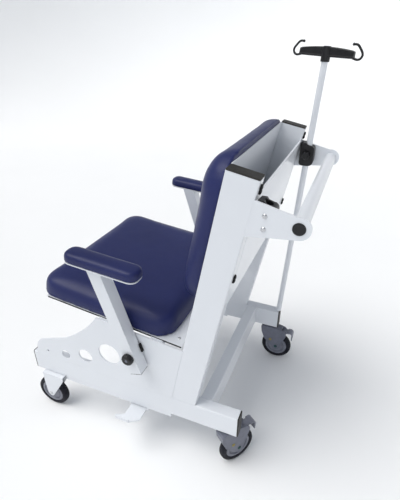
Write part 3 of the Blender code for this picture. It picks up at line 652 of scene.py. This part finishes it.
def make_cushion(node, name, shrink, voxel, pressure, cap, stiffness, smoothing):
    """Upholstered pad in the place of a CAD solid, standing on its flat base."""
    shape = cad_shape(node)
    widest = max(shape.faces, key=lambda f: f.calc_area())
    up, base = widest.normal * -1, widest.calc_center_median()
    shape.normal_update()
    moves = []
    for vertex in shape.verts:
        inwards = -vertex.normal
        if vertex.normal.dot(up) < -0.2:
            inwards = inwards - up * inwards.dot(up)
        moves.append((vertex, inwards * shrink))
    for vertex, move in moves:
        vertex.co += move
    mesh = bpy.data.meshes.new(name)
    shape.to_mesh(mesh)
    shape.free()
    cushion = bpy.data.objects.new(name, mesh)
    bpy.context.scene.collection.objects.link(cushion)
    remesh = cushion.modifiers.new("even_grid", "REMESH")
    remesh.mode = "VOXEL"
    remesh.voxel_size = voxel
    graph = bpy.context.evaluated_depsgraph_get()
    grid = bpy.data.meshes.new_from_object(cushion.evaluated_get(graph))
    cushion.modifiers.clear()
    cushion.data = grid
    simulate(cushion, base, up, pressure, cap, stiffness)
    smooth = bmesh.new()
    smooth.from_mesh(cushion.data)
    free = [v for v in smooth.verts if (v.co - base).dot(up) > BASE_KEPT]
    for _ in range(smoothing):
        bmesh.ops.smooth_vert(smooth, verts=free, factor=0.5, use_axis_x=True, use_axis_y=True,
                              use_axis_z=True)
    smooth.to_mesh(cushion.data)
    smooth.free()
    cushion.data.materials.clear()
    cushion.data.materials.append(MATERIALS["navy_vinyl"])
    cushion.data.shade_smooth()
    finer = cushion.modifiers.new("finer", "SUBSURF")
    finer.levels = 1
    finer.render_levels = 1
    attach(cushion, BODY_OF[node])
    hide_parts(node)


def make_cushions():
    """The seat, the back and the armrests."""
    for node in ("seat_cushion", "back_cushion"):
        make_cushion(node, f"{node}_vinyl", shrink=0.003, voxel=0.006, pressure=4.0, cap=0.006,
                     stiffness=60.0, smoothing=24)
    for label, _ in SIDES:
        make_cushion(f"arm_pad_{label}", f"arm_pad_{label}_vinyl", shrink=0.002, voxel=0.0035, pressure=4.0,
                     cap=0.005, stiffness=25.0, smoothing=4)


# ---------------------------------------------------------------- small trims

def arm_directions():
    """Unit vectors towards the rear across the arm's post, and up along it."""
    back = Vector((0, math.cos(ARM_LEAN), math.sin(ARM_LEAN)))
    up = Vector((0, -math.sin(ARM_LEAN), math.cos(ARM_LEAN)))
    return back, up


def make_arm_stop(label, side):
    """Rubber buffer on the rear edge of the arm's post, beside its pivot. It swings with the arm."""
    pivot = Vector(JOINT[f"arm_fold_{label}"]["pos_m"])
    face = reaches(f"side_plate_{label}")[0] + 0.0018
    back, up = arm_directions()
    centre = Vector((side * face, pivot.y, pivot.z)) + back * 0.0238 + up * 0.008
    rings = []
    levels = ((0.0, 0.0030, 0.0150), (0.0055, 0.0030, 0.0150), (0.0072, 0.0024, 0.0144),
              (0.0080, 0.0012, 0.0130))
    for proud, wide, tall in levels:
        ring = []
        for step in range(24):
            angle = 2 * math.pi * step / 24
            a = math.copysign(abs(math.cos(angle)) ** 0.5, math.cos(angle))
            b = math.copysign(abs(math.sin(angle)) ** 0.5, math.sin(angle))
            ring.append(centre + Vector((side, 0, 0)) * proud + back * wide * a + up * tall * b)
        rings.append(ring)
    add(f"arm_stop_{label}", loft(rings), f"arm_{label}", "black_rubber")


def make_pan_screws():
    """Screw heads at the seat pan's rear corners."""
    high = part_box("seat_pan")[1]
    shape = cad_shape("seat_pan")
    top = max(shape.faces, key=lambda f: f.calc_area() * (f.normal.z > 0.9))
    normal, centre = top.normal.copy(), top.calc_center_median()
    shape.free()
    for label, side in SIDES:
        y = high.y - 0.020
        z = centre.z - (y - centre.y) * normal.y / normal.z
        head = turned([(0.0001, 0.0052), (0.0009, 0.0050), (0.0019, 0.0040), (0.0024, 0.0022),
                       (0.0012, 0.0016)], steps=28)
        add(f"pan_screw_{label}", placed(head, normal, (side * 0.262, y, z)), "chassis", "bright_steel")


def bead(name, corners, radius=0.0020):
    """Painted weld bead along a closed line of straight runs, with the ripple that a weld leaves."""
    path = []
    for index, corner in enumerate(corners):
        start, after = Vector(corner), Vector(corners[(index + 1) % len(corners)])
        steps = max(2, int((after - start).length / BEAD_SPACING))
        path += [start.lerp(after, step / steps) for step in range(steps)]
    sizes = [radius * (1.0 + 0.16 * math.sin(index * 1.9)) for index in range(len(path))]
    shape = loft(tube_rings(path, sizes, 8, closed=True), loop=True)
    add(name, shape, "chassis", "white_paint", sharp=80.0, even=False)


def make_welds(inset=0.001):
    """Beads round the cross tube's ends and the uprights' feet."""
    low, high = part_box("rear_cross_tube")
    front, rear = low.y + inset, high.y - inset
    bottom, top = low.z + inset, high.z - inset
    for label, side in SIDES:
        x = side * (reaches("rear_cross_tube")[0] - 0.0002)
        bead(f"weld_cross_{label}", [(x, front, bottom), (x, rear, bottom), (x, rear, top), (x, front, top)])
        foot_low, foot_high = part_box(f"upright_{label}")
        near, far = foot_low.x + inset, foot_high.x - inset
        base_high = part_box(f"base_tube_{label}")[1].z
        tube = cad_shape(f"upright_{label}")
        near_floor = [v.co.y for v in tube.verts if v.co.z < base_high + 0.004]
        tube.free()
        toe, heel, level = min(near_floor) + inset, max(near_floor) - inset, base_high + 0.0006
        bead(f"weld_foot_{label}", [(near, toe, level), (far, toe, level), (far, heel, level),
                                    (near, heel, level)], 0.0016)


def strip(name, ends, across, out, width, depth, body, slot, rise=0.0):
    """A flat bar between two end points, with its outer edges chamfered."""
    across, out = Vector(across).normalized(), Vector(out).normalized()
    section = ((-0.5, 1), (-0.5, 0.1), (-0.4, 0), (0.4, 0), (0.5, 0.1), (0.5, 1))
    rings = []
    for end in ends:
        middle = Vector(end) + out * rise
        rings.append([middle + across * width * a - out * depth * b for a, b in section])
    add(name, loft(rings), body, slot, sharp=30.0, even=False)


def line_of(node, keep):
    """The two end points of a straight CAD edge: the lowest and the highest of the points kept."""
    shape = cad_shape(node)
    found = sorted((v.co.copy() for v in shape.verts if keep(v.co)), key=lambda co: co.z)
    shape.free()
    return found[0], found[-1]


def seam(name, side, face, low, high, across, rise):
    """A strip of painted filler up the chair's side between two (y, z) points."""
    ends = [(side * face, *low), (side * face, *high)]
    strip(name, ends, across, (side, 0, 0), SEAM_WIDE, SEAM_DEEP, "chassis", "white_paint", rise)


def make_filled_seams(label, side):
    """Painted filler between the side plate, the base tube, the upright and the bracket."""
    face = reaches(f"side_plate_{label}")[0]
    plate_low, plate_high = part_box(f"side_plate_{label}")
    bracket_low, bracket_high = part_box(f"handle_bracket_{label}")
    level = (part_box(f"base_tube_{label}")[1].z + plate_low.z) / 2
    across = (0, math.cos(BACK_LEAN), -math.sin(BACK_LEAN))
    foot = line_of(f"side_plate_{label}",
                   lambda co: co.y > plate_high.y - 0.06 and abs(co.z - plate_low.z) < 0.001)
    low = max(foot, key=lambda co: co.y)
    high = line_of(f"side_plate_{label}", lambda co: co.y > plate_high.y - 0.0005)[1]
    seam(f"seam_plate_{label}", side, face, (low.y + SEAM_CLEAR, low.z), (high.y + SEAM_CLEAR, high.z),
         across, 0.00012)
    seam(f"seam_base_{label}", side, face, (plate_low.y + 0.001, level), (low.y, level), (0, 0, 1), 0.00010)
    low = line_of(f"handle_bracket_{label}", lambda co: co.y < bracket_low.y + 0.0005)[0]
    ends = line_of(f"handle_bracket_{label}", lambda co: abs(co.z - bracket_high.z) < 0.0005)
    top = min(ends, key=lambda co: co.y)
    seam(f"seam_bracket_{label}", side, face, (low.y - SEAM_CLEAR, low.z + 0.0005),
         (top.y - SEAM_CLEAR, top.z - 0.0005), across, 0.00014)


def make_seat_shade_strip(label, side):
    """Black strip on the seat pan's side, under the cushion: painted shade standing in for the shadow gap between
    the pan and the side plate.
    """
    cushion_low, cushion_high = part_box("seat_cushion")
    pan_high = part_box("seat_pan")[1]
    shape = cad_shape("seat_cushion")
    board = max(shape.faces, key=lambda f: f.calc_area())
    up, centre = board.normal * -1, board.calc_center_median()
    shape.free()
    x = side * (cushion_high.x - SHADE_STRIP_DEEP)
    ends = []
    for y in (cushion_low.y + 0.045, pan_high.y - 0.001):
        z = centre.z - (y - centre.y) * up.y / up.z
        ends.append(Vector((x, y, z)) - up * SHADE_STRIP_DEEP)
    # The black strip is painted shade, in place of the shadowed gap under the cushion
    strip(f"seat_shade_strip_{label}", ends, up, (side, 0, 0), SHADE_STRIP_WIDE, SHADE_STRIP_DEEP, "chassis", "black_rubber")


def make_post_cap(label):
    """Cap in the lower end of the arm's post."""
    back, up = arm_directions()
    shape = cad_shape(f"arm_post_{label}")
    reach = min(v.co.dot(up) for v in shape.verts)
    tip = [v.co.copy() for v in shape.verts if v.co.dot(up) < reach + 0.0005]
    shape.free()
    xs = [co.x for co in tip]
    alongs = [co.dot(back) for co in tip]
    wide, deep = (max(xs) - min(xs)) / 2, (max(alongs) - min(alongs)) / 2
    middle = Vector(((min(xs) + max(xs)) / 2, 0, 0)) + back * (min(alongs) + max(alongs)) / 2
    middle += up * (reach - 0.0003)
    corners = ((-1, -0.92), (-0.92, -1), (0.92, -1), (1, -0.92), (1, 0.92), (0.92, 1), (-0.92, 1), (-1, 0.92))
    rings = []
    for level, inset in ((0.0, 0.0), (0.0012, 0.0), (0.0019, 0.0008)):
        rings.append([middle - up * level + Vector((a * (wide - inset), 0, 0)) + back * b * (deep - inset)
                      for a, b in corners])
    add(f"arm_post_cap_{label}", loft(rings), f"arm_{label}", "end_cap", sharp=30.0)


def make_clamp_screws(label, side):
    """Zinc heads over the two screws that hold the pole clamp."""
    shape = cad_shape(f"pole_clamp_{label}")
    reach = max(abs(v.co.x) for v in shape.verts)
    tips = [v.co.copy() for v in shape.verts if abs(v.co.x) > reach - 0.0001]
    shape.free()
    split = (min(co.z for co in tips) + max(co.z for co in tips)) / 2
    groups = {"low": [co for co in tips if co.z < split], "high": [co for co in tips if co.z >= split]}
    for place, group in groups.items():
        centre = sum(group, Vector()) / len(group)
        head = turned([(reach + 0.0001, 0.0016), (reach + 0.0006, 0.0022), (reach + 0.0005, 0.0036),
                       (reach - 0.0006, 0.0052), (reach - 0.0018, 0.0060), (reach - 0.0026, 0.0061)],
                      steps=32)
        add(f"clamp_screw_{place}_{label}", placed(head, (side, 0, 0), (0, centre.y, centre.z)), "chassis",
            "bright_steel")


# ---------------------------------------------------------------- studio

def stage_surface(name, profile, finish, closed_middle=False):
    """A surface turned about the Z axis from (radius, height) points, facing up and inwards."""
    turns = [2 * math.pi * step / STUDIO_STEPS for step in range(STUDIO_STEPS)]
    shape = bmesh.new()
    rows = [[shape.verts.new((r * math.cos(t), r * math.sin(t), z)) for t in turns] for r, z in profile]
    if closed_middle:
        shape.faces.new(rows[0])
    for first, second in zip(rows, rows[1:]):
        for index in range(STUDIO_STEPS):
            after = (index + 1) % STUDIO_STEPS
            shape.faces.new((first[index], second[index], second[after], first[after]))
    mesh = bpy.data.meshes.new(name)
    shape.to_mesh(mesh)
    shape.free()
    mesh.materials.append(finish)
    mesh.shade_smooth()
    surface = bpy.data.objects.new(name, mesh)
    bpy.context.scene.collection.objects.link(surface)
    return surface


def make_floor():
    """Pale floor that sweeps up all round, and a wall above it that only the camera sees."""
    sweep = [math.radians(angle) for angle in range(9, 91, 9)]
    profile = [(0.02, 0.0), (2.0, 0.0), (FLOOR_RADIUS, 0.0)]
    profile += [(FLOOR_RADIUS + SWEEP_RADIUS * math.sin(a), SWEEP_RADIUS - SWEEP_RADIUS * math.cos(a))
                for a in sweep]
    finish = floor_finish("studio_floor_pale")
    stage_surface("studio_floor", profile, finish, closed_middle=True)
    radius, top = profile[-1]
    backdrop = stage_surface("studio_backdrop", [(radius, top), (radius, BACKDROP_HIGH)], finish)
    backdrop.visible_shadow = False
    backdrop.visible_diffuse = False
    backdrop.visible_glossy = False


def make_lights():
    """Two large soft suns and a pale world."""
    lights = (("key", (0.8, -1.1, 2.6), 44.0, 2.25, (1.0, 0.985, 0.955)),
              ("side", (2.6, -0.3, 0.75), 60.0, 0.72, (0.88, 0.94, 1.0)))
    for name, place, spread, power, colour in lights:
        data = bpy.data.lights.new(f"light_{name}", "SUN")
        data.energy = power
        data.angle = math.radians(spread)
        data.color = colour
        lamp = bpy.data.objects.new(f"light_{name}", data)
        lamp.location = place
        lamp.rotation_euler = (-Vector(place)).to_track_quat("-Z", "Y").to_euler()
        bpy.context.scene.collection.objects.link(lamp)
    world = bpy.data.worlds.new("studio")
    world.use_nodes = True
    sky = world.node_tree.nodes["Background"]
    sky.inputs["Color"].default_value = WORLD_COLOUR
    sky.inputs["Strength"].default_value = WORLD_STRENGTH
    bpy.context.scene.world = world
    bpy.context.scene.view_settings.view_transform = "Standard"


def make_camera():
    """Camera above and behind the chair's left side."""
    camera = bpy.data.cameras.new("camera")
    camera.lens = LENS
    camera.sensor_width = SENSOR
    camera.sensor_fit = "AUTO"
    camera.clip_start = 0.02
    camera.clip_end = 60.0
    eye = bpy.data.objects.new("camera", camera)
    turn = Matrix((EYE_RIGHT, EYE_BACK.cross(EYE_RIGHT), EYE_BACK)).transposed().to_4x4()
    eye.matrix_world = Matrix.Translation(EYE) @ turn
    bpy.context.scene.collection.objects.link(eye)
    bpy.context.scene.camera = eye


def main():
    make_floor()
    make_lights()
    make_camera()
    make_frame()
    for label, side in SIDES:
        make_wheel("front", label, f"front_wheel_spin_{label}")
        make_wheel("castor", label, f"castor_wheel_spin_{label}")
        make_axle_trims(label, side)
        make_arm_knob(label, side)
        make_clamp_knob(label, side)
        make_plug(label, side)
        make_buffer(f"bumper_upper_{label}")
        make_buffer(f"bumper_lower_{label}")
        make_arm_stop(label, side)
        make_filled_seams(label, side)
        make_seat_shade_strip(label, side)
        make_post_cap(label)
        make_clamp_screws(label, side)
    make_hanger()
    make_pan_screws()
    make_welds()
    make_cushions()


main()
